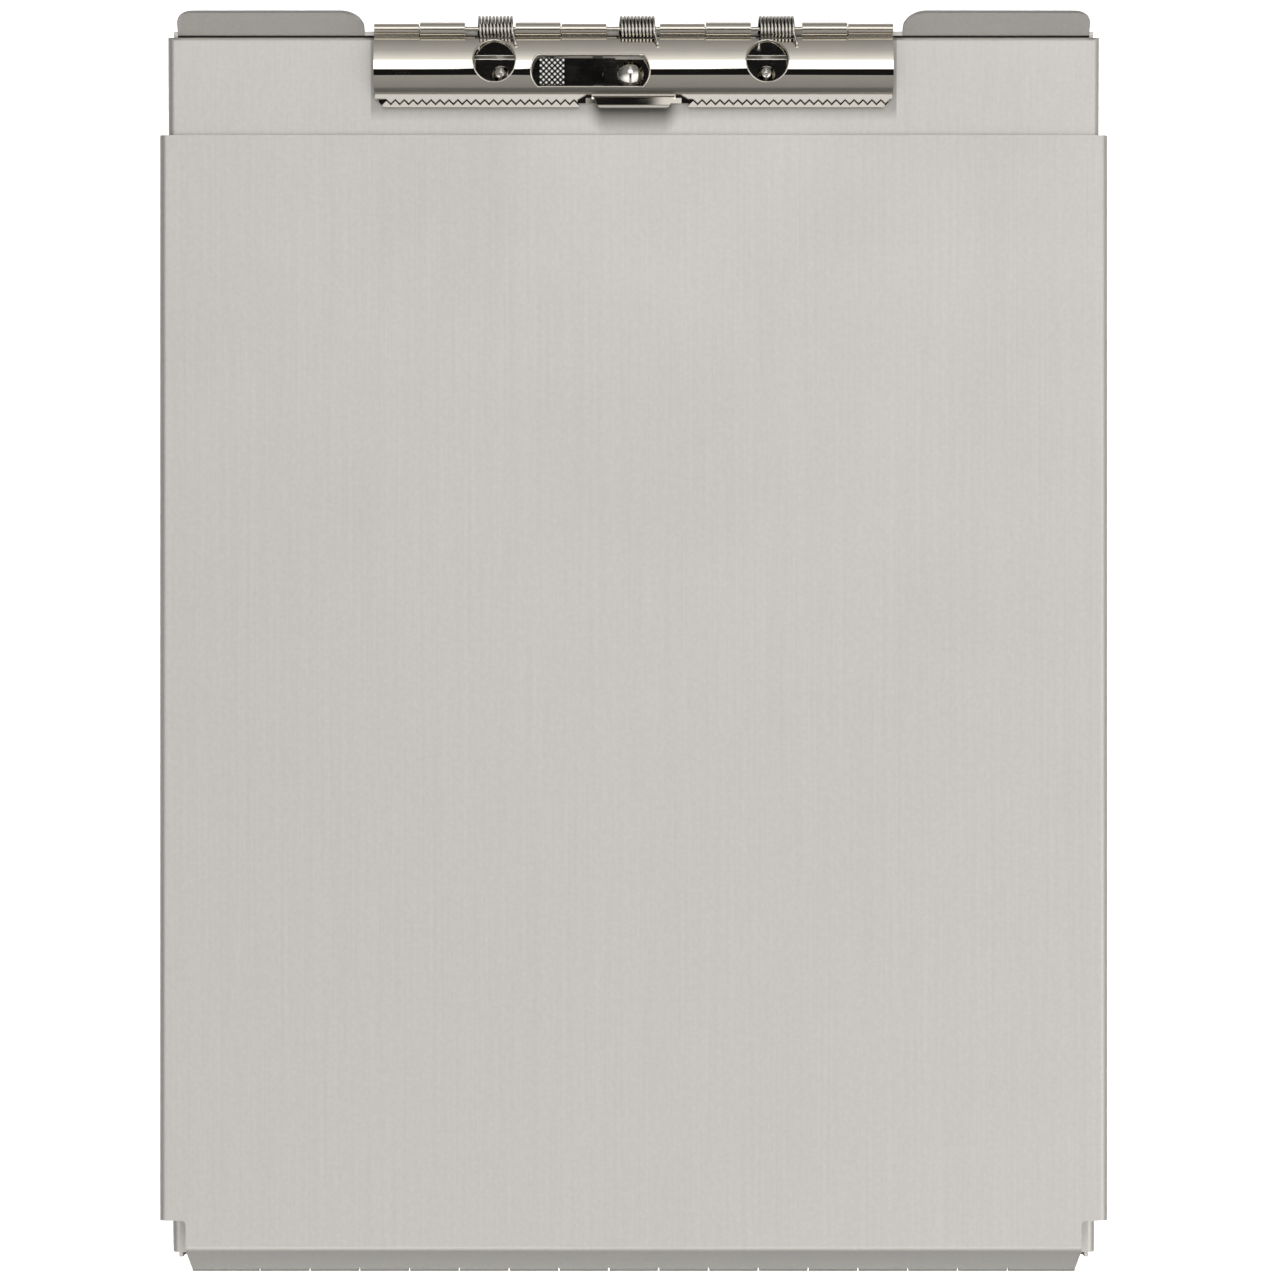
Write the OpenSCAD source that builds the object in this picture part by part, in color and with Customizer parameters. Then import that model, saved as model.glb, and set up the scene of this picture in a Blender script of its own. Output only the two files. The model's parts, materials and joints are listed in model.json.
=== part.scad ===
// Storage clipboard box: a shallow storage tray, a sprung clip on a sloping deck
// and a writing plate, all three hinged on one pin along the bottom end.
// It lies on its back: X across, +Y towards the clip, +Z up from the table.
// Inside the file Y is counted from the axis of the bottom hinge.

/* [Sheet metal] */
// Thickness of the aluminium sheet
sheet = 1.0; // [0.8:0.1:1.2]
// Outer radius of the bends along the sheet's edges
bend_r = 1.8; // [1.5:0.1:2.2]
// Gap between the plate's side flanges and the deck's
plate_side_gap = 1.0; // [0.6:0.1:1.5]
// Gap between the deck's side flanges and the tray's walls
tray_side_gap = 0.5; // [0.4:0.1:0.8]
// Gap left where one sheet rests on another
seat_gap = 0.25; // [0.2:0.05:0.3]

/* [Writing plate] */
// Width over the plate's side flanges
plate_w = 238; // [210:1:270]
// Flat length of the writing surface
plate_len = 280; // [250:1:330]
// Height of the writing surface above the table
plate_top_z = 19; // [18:0.5:21]
// Depth of the plate's side flanges
plate_flange = 12.5; // [11:0.5:13]
// Width cut away from each bottom corner
notch_w = 6.6; // [6.2:0.1:8]
// Length cut away from each bottom corner
notch_len = 7.6; // [6:0.2:10]
// Radius inside the corner notch
notch_r = 1.2; // [0.8:0.1:2]
// Distance from the hinge axis to the plate's bottom bend
bend_y = 6.0; // [5:0.25:7]

/* [Clip deck] */
// Length of deck left free past the writing plate
deck_past_plate = 24.6; // [24:0.2:34]
// Height of the deck's surface at the hinge end
deck_low_z = 7.0; // [6.5:0.25:8]
// Depth of the deck's flanges
deck_flange = 6.0; // [5:0.25:6.5]
// Distance from the hinge axis to the deck's hinge end
deck_y = 4.0; // [3.8:0.1:4.6]

/* [Storage tray] */
// Gap between the deck's clip end and the tray's end wall
end_gap = 0.5; // [0.4:0.1:1]
// How far the end wall's top lies below the deck's surface
end_wall_drop = 0.75; // [0.6:0.05:1]
// Width of a finger tab
tab_w = 46.9; // [30:0.5:48]
// How far a finger tab rises above the end wall
tab_rise = 6.0; // [4:0.5:9]
// How far a finger tab leans out over its height
tab_lean = 4.75; // [3:0.25:8]
// Corner radius of a finger tab at its outer end
tab_outer_r = 4.0; // [2:0.5:5]
// Corner radius of a finger tab at its inner end
tab_inner_r = 5.7; // [2:0.1:6]
// Distance from the tray's side to the finger tab
tab_inset = 1.1; // [0.8:0.1:4]

/* [Bottom hinge] */
// Diameter of the hinge pin
pin_d = 1.5; // [1.2:0.1:1.6]
// Running clearance of the pin, on the diameter
pin_fit = 0.1; // [0.06:0.02:0.16]
// Thickness of the hinge leaves
leaf_t = 0.8; // [0.6:0.05:0.8]
// Length of one hinge knuckle along the pin
knuckle_pitch = 12.7; // [10:0.1:16]
// Slit between neighbouring knuckles
knuckle_slit = 0.3; // [0.2:0.05:0.4]
// How far each hinge leaf runs on its sheet
leaf_run = 10; // [8:0.5:14]
// Gap between the barrel and the table
barrel_lift = 0.2; // [0.1:0.05:0.4]

/* [Clip] */
// Width of the clip jaw
jaw_w = 129.8; // [120:0.2:150]
// Thickness of the jaw's sprung steel
jaw_t = 0.7; // [0.6:0.05:0.8]
// Outer radius of the jaw's arch on the rod's side
arch_back_r = 12.1; // [11.8:0.1:12.6]
// Outer radius of the jaw's arch on the teeth's side
arch_front_r = 6.2; // [6.1:0.05:6.5]
// Height of the arch's crest above the deck
arch_top = 6.5; // [6.4:0.1:7.5]
// Distance from the rod axis to the arch's crest
crest_back = 10.3; // [10:0.1:10.6]
// Distance from the rod axis to the bend of the jaw's lip
lip_bend = 16.3; // [16:0.1:16.6]
// Distance from the rod axis to the tips of the jaw's teeth
lip_tip = 18.45; // [18.2:0.05:18.8]
// Height of the jaw's lip above the deck
lip_z = 1.5; // [1.45:0.05:1.7]
// Pitch of the V teeth
tooth_pitch = 2.24; // [1.8:0.02:3]
// Depth of the V teeth
tooth_h = 1.1; // [0.8:0.05:1.2]
// Gap between the meshing rows of teeth
tooth_gap = 0.62; // [0.42:0.02:0.8]
// Upward pitch of the jaw's lip and of the base plate's teeth
lip_pitch = 6; // [2:0.5:8]
// Width of the finger lift at its root
lift_w = 21; // [14:0.5:24]
// How much narrower each side of the finger lift is at its front
lift_taper = 1.4; // [0:0.1:2]
// Height the finger lift steps up by
lift_rise = 1.1; // [0.6:0.1:1.4]
// Slope of the finger lift's step
lift_angle = 64; // [50:1:70]
// Length of the finger lift's flat past its step
lift_run = 2.2; // [1:0.1:3]
// Thickness of the finger lift's rounded front edge
lift_nose = 1.0; // [0.9:0.05:1.3]
// Diameter of the round windows over the rivets
window_d = 10.7; // [8:0.1:11.5]
// Distance from the clip's middle to each rivet
rivet_x = 33.3; // [30:0.1:45]
// Distance between the middles of the two windows
window_span = 68.2; // [66:0.2:72]
// Sideways shift of both windows
window_shift = -0.7; // [-1:0.1:1]
// Thickness of the clip's base plate
base_t = 1.0; // [0.8:0.05:1.1]
// Diameter of the clip's hinge rod
rod_d = 1.2; // [1:0.05:1.4]
// Running clearance of the rod, on the diameter
rod_fit = 0.1; // [0.06:0.02:0.16]
// Height of the rod's axis above the deck
rod_z = 2.8; // [2.7:0.05:3]
// Distance of the rod's axis past the deck's end
rod_past = 1.7; // [1.6:0.05:2]
// Diameter of the rivet heads
rivet_head_d = 4.3; // [3.6:0.1:5]
// Diameter of the rivet shanks
rivet_d = 2.4; // [2:0.1:3]

/* [Springs] */
// Outer diameter of the torsion springs
spring_d = 5.75; // [5.2:0.05:5.8]
// Wire diameter of the torsion springs
wire_d = 0.85; // [0.7:0.05:0.9]
// Coils in one torsion spring
coils = 11; // [6:1:11]
// How far the coils hang out past the rod's axis
spring_shift = 0.5; // [0:0.05:0.8]

/* [Latch] */
// Width of the latch slot in the jaw
slot_w = 7.9; // [7.7:0.1:8.6]
// Left end of the latch slot, from the clip's middle
slot_left = -25.7; // [-28:0.1:-24]
// Right end of the latch slot, from the clip's middle
slot_right = 4.1; // [3.8:0.1:8]
// Diameter of the stud's domed head
dome_d = 6.6; // [6:0.1:6.8]
// Place of the stud across the clip
stud_x = -0.8; // [-1.5:0.1:0]
// Diameter of the stud's neck
neck_d = 3.4; // [2.6:0.1:3.6]
// Width of the latch bar
bar_w = 6.7; // [6.2:0.1:6.8]
// Thickness of the latch bar
bar_t = 0.9; // [0.7:0.05:0.9]
// Travel of the latch bar
latch_travel = 5; // [4:0.1:5]
// Length of the knurled thumb pad
pad_len = 6.2; // [5:0.1:8]
// Gap round the latch bar where it slides
slide_gap = 0.25; // [0.2:0.05:0.3]

/* [Hidden] */
$fn = 64;
E = 0.01;
// room that two parts on different bodies leave each other
room = 0.3;

// layers of the sheets, from the outside in
deck_w = plate_w - 2 * sheet - 2 * plate_side_gap;
tray_w = deck_w - 2 * sheet - 2 * tray_side_gap;
plate_end_y = bend_y + plate_len;
plate_under_z = plate_top_z - sheet;
deck_end_y = plate_end_y + deck_past_plate;
tray_wall_y = deck_end_y + end_gap;
tray_end_y = tray_wall_y + sheet;

// slope of the deck, from the hinge end up to the plate's free end
deck_rise = plate_under_z - seat_gap - deck_low_z;
tilt = atan2(deck_rise, plate_end_y - deck_y);
deck_len = (deck_end_y - deck_y) / cos(tilt);
function deck_z(y) = deck_low_z + (y - deck_y) * tan(tilt);
end_wall_z = deck_z(tray_wall_y) - end_wall_drop;

// bottom hinge
barrel_r = pin_d / 2 + pin_fit / 2 + leaf_t;
axis_z = barrel_lift + barrel_r;
hinge_w = plate_w - 2 * notch_w;
inner_knuckles = 2 * floor((hinge_w / knuckle_pitch - 2) / 2) + 1;
knuckles = inner_knuckles + 2;
end_knuckle = (hinge_w - inner_knuckles * knuckle_pitch) / 2;
leaf_clear = barrel_r + room;
function knuckle_start(i) =
    i == 0 ? -hinge_w / 2 : -hinge_w / 2 + end_knuckle + (i - 1) * knuckle_pitch + knuckle_slit / 2;
function knuckle_end(i) =
    i == knuckles - 1 ? hinge_w / 2 : -hinge_w / 2 + end_knuckle + i * knuckle_pitch - knuckle_slit / 2;
PLATE = [for (i = [0 : 2 : knuckles - 1]) i];
DECK = [for (i = [1 : 4 : knuckles - 1]) i];
TRAY = [for (i = [3 : 4 : knuckles - 1]) i];

// the plate's bottom flange runs from the bend to just beside the barrel
flange_skew = 1.3;
flange_reach = norm([bend_y, plate_top_z - axis_z]);
flange_angle = atan2(plate_top_z - axis_z, bend_y) - asin(flange_skew / flange_reach);
flange_len = sqrt(flange_reach * flange_reach - flange_skew * flange_skew);

// the whole part is centred over its footprint
tab_angle = atan2(tab_lean, tab_rise);
y_low = -barrel_r;
y_high = tray_wall_y + tab_lean + sheet * cos(tab_angle);
hinge_y = -(y_low + y_high) / 2;

// clip, counted from the deck's surface under the rod axis
small_barrel_r = rod_d / 2 + rod_fit / 2 + jaw_t;
big_barrel_r = rod_d / 2 + rod_fit / 2 + base_t;
jaw_back = big_barrel_r + room;
spring_clear = spring_d / 2 + room;
knuckle_gap = 0.3;
clip_knuckle = 11.2;
// left ends of the rod's knuckles: the jaw's and the base plate's
mid_left = -18;
mid_right = 6.6;
knuckle_step = clip_knuckle + knuckle_gap;
JAW_KNUCKLES = [-jaw_w / 2, mid_left, mid_right, jaw_w / 2 - clip_knuckle];
BASE_KNUCKLES = [-jaw_w / 2 + knuckle_step, mid_left - knuckle_step, mid_right + knuckle_step,
    jaw_w / 2 - clip_knuckle - knuckle_step];
// middles of the three springs
SPRING_X = [-34.6, 0.85, 35.65];
coil_pitch = wire_d - 0.02;
coil_len = coil_pitch * (coils - 1) + wire_d;
base_half = jaw_w / 2 - 1;
base_edge = 0.45;
mid_setback = 1.2;
base_front = lip_tip + tooth_gap + base_edge;
base_tooth_z = 0.65;
base_tooth_h = 1.25;
joggle_z = 0.8;
joggle_y = 5.0;
wing_joggle_y = 6.2;
wing_x = 26;
spring_notch_y = 2.75;
toothless = 13.8;
tooth_count = floor((jaw_w / 2 - 1.5 - toothless) / tooth_pitch);
rivet_y = -11.2;
rivet_head_h = 1.1;
washer_d = 6;
washer_t = 0.5;
latch_y = -10.6;
window_y = -8.1;
bar_z = 2.0;
bar_right = stud_x - dome_d / 2 - 0.5;
bar_left = slot_left - 2.3;
pad_left = slot_left + 2.2;
pad_h = 1.3;
dome_low = bar_z + bar_t + room;
dome_edge = 0.1;
dome_r = 4.6;
strap_t = 0.45;

// ---- helpers ----

// moves a shape drawn from the hinge axis into the part's own frame
module row() { translate([0, hinge_y, 0]) children(); }

// frame of the sloping deck: Y along its surface from the hinge end, Z off it
module on_deck() { translate([0, deck_y, deck_low_z]) rotate([tilt, 0, 0]) children(); }

// frame of the clip: the deck's surface under the rod axis
module on_clip() { row() on_deck() translate([0, deck_len + rod_past, 0]) children(); }

// extrudes a side view, drawn as [y, z], from x0 to x1
module side_view(x0, x1) {
    translate([x0, 0, 0]) rotate([90, 0, 90]) linear_extrude(x1 - x0) children();
}

// extrudes an end view, drawn as [x, z], from y0 to y1
module end_view(y0, y1) {
    translate([0, y1, 0]) rotate([90, 0, 0]) linear_extrude(y1 - y0) children();
}

// quarter of a bent sheet: the outer corner is at the origin, the sheet lies in -X and -Y
module bend_corner(r, t) {
    translate([-r, -r]) intersection() {
        difference() {
            circle(r);
            circle(r - t);
        }
        square(r);
    }
}

// sheet with both sides turned down, outer top corner at [w / 2, 0]
module channel(w, depth, r, t) {
    translate([-w / 2 + r, -t]) square([w - 2 * r, t]);
    for (side = [0, 1]) mirror([side, 0]) {
        translate([w / 2, 0]) bend_corner(r, t);
        translate([w / 2 - t, -depth]) square([t, depth - r]);
    }
}

// round bar between two points
module bar_between(a, b, d) {
    along = b - a;
    translate(a)
        rotate([0, atan2(norm([along.x, along.y]), along.z), atan2(along.y, along.x)])
            cylinder(d = d, h = norm(along), $fn = 24);
}

// hinge leaf round the pin's axis, from its side view; it keeps its own knuckles only
module leaf(own) {
    side_gap = knuckle_slit;
    difference() {
        side_view(-hinge_w / 2, hinge_w / 2) union() {
            circle(barrel_r);
            children();
        }
        for (i = [0 : knuckles - 1]) if (len(search(i, own)) == 0)
            side_view(knuckle_start(i) - side_gap, knuckle_end(i) + side_gap) circle(leaf_clear);
        side_view(-plate_w / 2, plate_w / 2) circle((pin_d + pin_fit) / 2);
    }
}

// ---- storage tray ----

module storage_tray() {
    floor_y = 2.6;
    color([0.74, 0.73, 0.71]) row() {
        difference() {
            end_view(floor_y, tray_end_y) rotate(180)
                channel(tray_w, plate_top_z, bend_r, sheet);
            // the walls follow the deck's underside
            on_deck() translate([-plate_w / 2, -2 * plate_top_z, -sheet - seat_gap])
                cube([plate_w, deck_len + 4 * plate_top_z, 2 * plate_top_z]);
        }
        // end wall, with the sheet's bend at the floor left sharp inside
        translate([-tray_w / 2 + bend_r, tray_wall_y, 0]) cube([tray_w - 2 * bend_r, sheet, bend_r]);
        translate([-tray_w / 2, tray_wall_y, bend_r - E]) cube([tray_w, sheet, end_wall_z - bend_r + E]);
        for (side = [0, 1]) mirror([side, 0, 0]) finger_tab();
    }
}

// tab that leans out from the top of the end wall
module finger_tab() {
    run = norm([tab_rise, tab_lean]);
    outer = tray_w / 2 - tab_inset;
    inner = outer - tab_w;
    translate([0, tray_wall_y, end_wall_z]) rotate([90 - tab_angle, 0, 0])
        translate([0, 0, -sheet]) linear_extrude(sheet) {
            translate([inner, 0]) square([tab_w, run - tab_inner_r]);
            translate([inner + tab_inner_r, 0]) square([tab_w - tab_inner_r - tab_outer_r, run]);
            translate([outer - tab_outer_r, 0]) square([tab_outer_r, run - tab_outer_r]);
            translate([inner + tab_inner_r, run - tab_inner_r]) quarter(tab_inner_r, true);
            translate([outer - tab_outer_r, run - tab_outer_r]) quarter(tab_outer_r, false);
        }
}

// quarter disc for a rounded corner, to the left or to the right of the origin
module quarter(r, left) {
    intersection() {
        circle(r);
        translate([left ? -r : 0, 0]) square(r);
    }
}

module tray_hinge_leaf() {
    color([0.7, 0.7, 0.69]) row() translate([0, 0, axis_z]) leaf(TRAY)
        translate([0, sheet - axis_z]) square([leaf_clear + leaf_run, leaf_t]);
}

module hinge_pin() {
    color([0.6, 0.6, 0.6]) row() translate([0, 0, axis_z]) side_view(-hinge_w / 2, hinge_w / 2)
        circle(pin_d / 2);
}

// ---- clip deck ----

module clip_deck() {
    edge_r = 1.0;
    inner_w = tray_w - 2 * sheet - 2 * tray_side_gap;
    color([0.76, 0.75, 0.73]) row() difference() {
        union() {
            on_deck() {
                end_view(0, deck_len) channel(deck_w, deck_flange, bend_r, sheet);
                // flange turned down inside the tray's end wall
                translate([-inner_w / 2, deck_len - sheet, -deck_flange + sheet])
                    cube([inner_w, sheet, deck_flange - sheet]);
            }
            // flange down to the hinge
            translate([-hinge_w / 2, deck_y, axis_z + leaf_t])
                cube([hinge_w, sheet, deck_low_z - sheet / 2 - axis_z - leaf_t]);
        }
        // round edge along the clip end
        on_deck() side_view(-plate_w / 2, plate_w / 2) translate([deck_len, 0]) difference() {
            translate([-edge_r, -edge_r]) square(edge_r + 1);
            translate([-edge_r, -edge_r]) circle(edge_r);
        }
        on_clip_holes();
    }
}

// rivet holes through the deck
module on_clip_holes() {
    for (side = [-1, 1])
        on_deck() translate([side * rivet_x, deck_len + rod_past + rivet_y, -2 * sheet])
            cylinder(d = rivet_d, h = 4 * sheet);
}

module deck_hinge_leaf() {
    web_z = sheet + leaf_t + room - axis_z;
    color([0.7, 0.7, 0.69]) row() translate([0, 0, axis_z]) leaf(DECK) {
        translate([0, web_z]) square([deck_y, leaf_t]);
        translate([deck_y - leaf_t, web_z]) square([leaf_t, deck_low_z - sheet - axis_z - web_z]);
    }
}

// ---- clip ----

// row of V teeth pointing to +Y: valleys at y0, tips at y0 + tooth_h
module teeth(y0, shift) {
    for (side = [-1, 1], i = [0 : tooth_count - 1])
        translate([side * (toothless + (i + 0.5) * tooth_pitch) + shift, y0]) polygon([
            [-tooth_pitch / 2, -E],
            [tooth_pitch / 2, -E],
            [0, tooth_h],
        ]);
}

module clip_base_plate() {
    color([0.8, 0.8, 0.79]) on_clip() difference() {
        union() {
            // flat on the deck, then stepped up towards the rod, further out on the wings
            for (part = [[-base_half, -wing_x, wing_joggle_y], [-wing_x, wing_x, joggle_y],
                    [wing_x, base_half, wing_joggle_y]])
                side_view(part[0], part[1]) polygon([
                    [-base_front, 0],
                    [-part[2] - 0.7, 0],
                    [-part[2], joggle_z],
                    [-big_barrel_r - 1.4, joggle_z],
                    [-big_barrel_r - 1.4, joggle_z + base_t],
                    [-part[2] - 0.35, joggle_z + base_t],
                    [-part[2] - 1.05, base_t],
                    [-base_front, base_t],
                ]);
            // ridge with the upward row of teeth
            pitched(base_front - base_edge - tooth_h, base_tooth_z)
                translate([0, 0, base_tooth_z]) linear_extrude(base_tooth_h) {
                    for (side = [-1, 1])
                        translate([side < 0 ? -base_half : toothless, -base_front])
                            square([base_half - toothless, base_edge]);
                    teeth(base_edge - base_front, 0);
                }
            for (x = BASE_KNUCKLES) side_view(x, x + clip_knuckle) {
                translate([0, rod_z]) circle(big_barrel_r);
                polygon([
                    [-big_barrel_r - 1.5, joggle_z],
                    [-big_barrel_r - 1.5, joggle_z + base_t],
                    [-1.2, joggle_z + base_t + 0.1],
                    [0, rod_z - big_barrel_r],
                ]);
            }
        }
        side_view(-jaw_w, jaw_w) translate([0, rod_z]) circle((rod_d + rod_fit) / 2);
        // the front edge steps back under the finger lift
        translate([-toothless, -base_front - 1, -1])
            cube([2 * toothless, 1 + mid_setback, 4]);
        // room for the springs
        for (x = SPRING_X)
            translate([x - coil_len / 2 - 1, -spring_notch_y, -1]) cube([coil_len + 2, 9, 4]);
        for (side = [-1, 1]) translate([side * rivet_x, rivet_y, -1])
            cylinder(d = rivet_d, h = 4);
        translate([stud_x, rivet_y, -1]) cylinder(d = neck_d, h = 4);
        // chamfered front corners
        for (side = [-1, 1]) translate([side * base_half, -base_front, -1]) rotate(45)
            cube([2, 2, 8], center = true);
    }
}

module clip_hinge_rod() {
    color([0.78, 0.78, 0.78]) on_clip() side_view(-jaw_w / 2, jaw_w / 2)
        translate([0, rod_z]) circle(rod_d / 2);
}

// rivet through base plate and deck, with its formed end under the washer
module clip_rivet(side) {
    low = -sheet - washer_t;
    color([0.82, 0.82, 0.81]) on_clip() translate([side * rivet_x, rivet_y, 0]) {
        difference() {
            translate([0, 0, base_t]) rotate_extrude() intersection() {
                translate([0, rivet_head_h - rivet_head_d * 0.75]) circle(rivet_head_d * 0.75);
                square([rivet_head_d / 2, rivet_head_h + 1]);
            }
            translate([0, 0, base_t + rivet_head_h]) sphere(d = 0.9);
        }
        translate([0, 0, low - E]) cylinder(d = rivet_d, h = base_t - low + 2 * E);
        translate([0, 0, low - 0.8]) cylinder(d = rivet_d + 1.2, h = 0.8);
    }
}

module rivet_washer(side) {
    color([0.66, 0.66, 0.66]) on_clip()
        translate([side * rivet_x, rivet_y, -sheet - washer_t]) difference() {
            cylinder(d = washer_d, h = washer_t);
            translate([0, 0, -1]) cylinder(d = rivet_d, h = 3);
        }
}

// stud that the latch bar hooks under
module latch_stud() {
    color([0.86, 0.86, 0.86]) on_clip() translate([stud_x, rivet_y, 0]) {
        cylinder(d = neck_d, h = dome_low + E);
        translate([0, 0, dome_low]) rotate_extrude() intersection() {
            translate([0, dome_edge - sqrt(dome_r * dome_r - dome_d * dome_d / 4)])
                circle(dome_r);
            square([dome_d / 2, dome_r]);
        }
    }
}

// torsion spring: close coils round the rod, one leg on the base plate and one on the jaw
module clip_spring(x) {
    coil_r = (spring_d - wire_d) / 2;
    half = coil_len / 2 - wire_d / 2;
    rise = 1.9;
    drop = 0.55;
    color([0.72, 0.72, 0.72]) on_clip() translate([x, spring_shift, rod_z]) {
        rotate([0, 90, 0]) rotate_extrude()
            for (i = [0 : coils - 1])
                translate([coil_r, (i - (coils - 1) / 2) * coil_pitch]) circle(d = wire_d, $fn = 24);
        bar_between([half, -sqrt(coil_r * coil_r - rise * rise), rise],
            [half + 0.9, -4.2 - spring_shift, 2.6], wire_d);
        bar_between([-half, -sqrt(coil_r * coil_r - drop * drop), -drop],
            [-half, -coil_r - 2.9 - spring_shift, -drop], wire_d);
    }
}

// tips what lies in front of y = -back up by the lip's pitch
module pitched(back, z) {
    translate([0, -back, z]) rotate([-lip_pitch, 0, 0]) translate([0, back, -z]) children();
}

// side view of the jaw's arch, two arcs that meet at its crest
module jaw_arch() {
    fore = lip_bend - crest_back;
    for (arc = [[arch_back_r, 0, crest_back - jaw_back], [arch_front_r, -fore, fore]])
        translate([-crest_back, arch_top - arc[0]]) intersection() {
            difference() {
                circle(arc[0], $fn = 128);
                circle(arc[0] - jaw_t, $fn = 128);
            }
            translate([arc[1], lip_z + arc[0] - arch_top]) square([arc[2], arc[0]]);
        }
}

// side view of the room under the jaw's arch
module jaw_room() {
    for (arc = [[arch_back_r, 0, crest_back], [arch_front_r, -arch_front_r, arch_front_r]])
        translate([-crest_back, arch_top - arc[0]]) intersection() {
            circle(arc[0] - jaw_t, $fn = 128);
            translate([arc[1], arc[0] - arch_top]) square([arc[2], arc[0]]);
        }
}

module clip_jaw() {
    valley = lip_tip - tooth_h;
    lip_half = jaw_w / 2 - 0.1;
    color([0.86, 0.86, 0.86]) on_clip() difference() {
        union() {
            side_view(-jaw_w / 2, jaw_w / 2) jaw_arch();
            pitched(lip_bend, lip_z) translate([0, 0, lip_z]) linear_extrude(jaw_t) {
                translate([-lip_half, -valley]) square([2 * lip_half, valley - lip_bend + 0.35]);
                mirror([0, 1]) teeth(valley, tooth_pitch / 2);
            }
            for (x = JAW_KNUCKLES) side_view(x, x + clip_knuckle) {
                translate([0, rod_z]) circle(small_barrel_r);
                // the sheet drops from the arch's back edge to the barrel
                polygon([
                    [-jaw_back - 0.7, rod_z + 0.45],
                    [-jaw_back - 0.7, rod_z + 0.75],
                    [-jaw_back + 0.1, rod_z + 0.1],
                    [-small_barrel_r * 0.7, rod_z + 0.25],
                    [-small_barrel_r * 0.7, rod_z - 0.5],
                    [-jaw_back + 0.3, rod_z - 0.35],
                ]);
            }
            finger_lift();
        }
        side_view(-jaw_w, jaw_w) translate([0, rod_z]) circle((rod_d + rod_fit) / 2);
        for (side = [-1, 1]) translate([side * window_span / 2 + window_shift, window_y, 0])
            cylinder(d = window_d, h = arch_top + 2);
        linear_extrude(arch_top + 2) latch_slot();
        for (x = SPRING_X) side_view(x - coil_len / 2 - 0.5, x + coil_len / 2 + 0.5)
            translate([spring_shift, rod_z]) circle(spring_clear);
        // reliefs each side of the finger lift
        for (side = [0, 1]) mirror([side, 0, 0]) translate([0, 0, lip_z - 1]) linear_extrude(5)
            polygon([
                [lift_w / 2, -lip_tip - 2],
                [lift_w / 2, -lip_bend + 0.2],
                [lift_w / 2 + 1.3, -lip_bend + 0.2],
                [toothless + 0.3, -lip_tip + tooth_h - 0.1],
                [toothless + 0.3, -lip_tip - 2],
            ]);
    }
}

// lip stepped up for opening the clip, with a thick round front edge
module finger_lift() {
    corner = 1.2;
    foot = 0.2;
    bend = jaw_t * tan(lift_angle / 2);
    step = lift_rise / tan(lift_angle);
    end = foot + step + lift_run;
    front = lift_w / 2 - lift_taper - corner;
    intersection() {
        side_view(-lift_w / 2, lift_w / 2) translate([-lip_bend, lip_z]) {
            polygon([
                [0.6, 0],
                [0.6, jaw_t],
                [-foot, jaw_t],
                [-foot - step, jaw_t + lift_rise],
                [-end, jaw_t + lift_rise],
                [-end, lift_rise],
                [-foot - step - bend, lift_rise],
                [-foot - bend, 0],
            ]);
            translate([-end, lift_rise + jaw_t / 2]) circle(d = lift_nose);
        }
        linear_extrude(arch_top) translate([0, -lip_bend]) hull() {
            for (side = [-1, 1])
                translate([side * front, corner - end - lift_nose / 2]) circle(corner);
            translate([-lift_w / 2, 0]) square([lift_w, 1]);
        }
    }
}

// outline of the latch slot, with its ends rounded like the windows
module latch_slot() {
    r = window_d / 2;
    intersection() {
        translate([slot_left, latch_y - slot_w / 2]) square([slot_right - slot_left, slot_w]);
        union() {
            translate([slot_left + r, latch_y]) circle(r);
            translate([slot_right - r, latch_y]) circle(r);
            translate([slot_left + r, latch_y - r]) square([slot_right - slot_left - 2 * r, 2 * r]);
        }
    }
}

// straps under the arch that carry the latch bar
module latch_retainers() {
    leg = 1.1;
    strap_w = 2.5;
    inside = bar_w + 2 * slide_gap;
    color([0.7, 0.7, 0.7]) on_clip()
        for (x = [pad_left + 1.5, bar_right - 5.6]) intersection() {
            side_view(x, x + strap_w) jaw_room();
            difference() {
                translate([x, latch_y - inside / 2 - leg, bar_z - slide_gap - strap_t])
                    cube([strap_w, inside + 2 * leg, arch_top]);
                translate([x - 1, latch_y - inside / 2, bar_z - slide_gap])
                    cube([strap_w + 2, inside, arch_top]);
            }
        }
}

// sliding bar with a fork for the stud's neck and a knurled thumb pad
module latch_bar() {
    fork = neck_d + 2 * slide_gap;
    fork_x = stud_x - latch_travel;
    color([0.8, 0.8, 0.8]) on_clip() {
        difference() {
            translate([bar_left, latch_y - bar_w / 2, bar_z])
                cube([bar_right - bar_left, bar_w, bar_t]);
            translate([fork_x, rivet_y, bar_z - 1]) cylinder(d = fork, h = bar_t + 2);
            translate([fork_x, rivet_y - fork / 2, bar_z - 1]) cube([10, fork, bar_t + 2]);
        }
        translate([pad_left, latch_y - bar_w / 2, bar_z + bar_t - E]) difference() {
            cube([pad_len, bar_w, pad_h + E]);
            knurl_grooves();
        }
    }
}

// crossed grooves over the thumb pad
module knurl_grooves() {
    spacing = 1.0;
    groove = 0.4;
    count = ceil((pad_len + bar_w) / spacing);
    for (turn = [45, 135], i = [-count / 2 : count / 2])
        translate([pad_len / 2, bar_w / 2, pad_h]) rotate(turn) translate([i * spacing, 0, 0])
            rotate([0, 45, 0]) cube([groove, 3 * pad_len, groove], center = true);
}

// ---- writing plate ----

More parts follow.
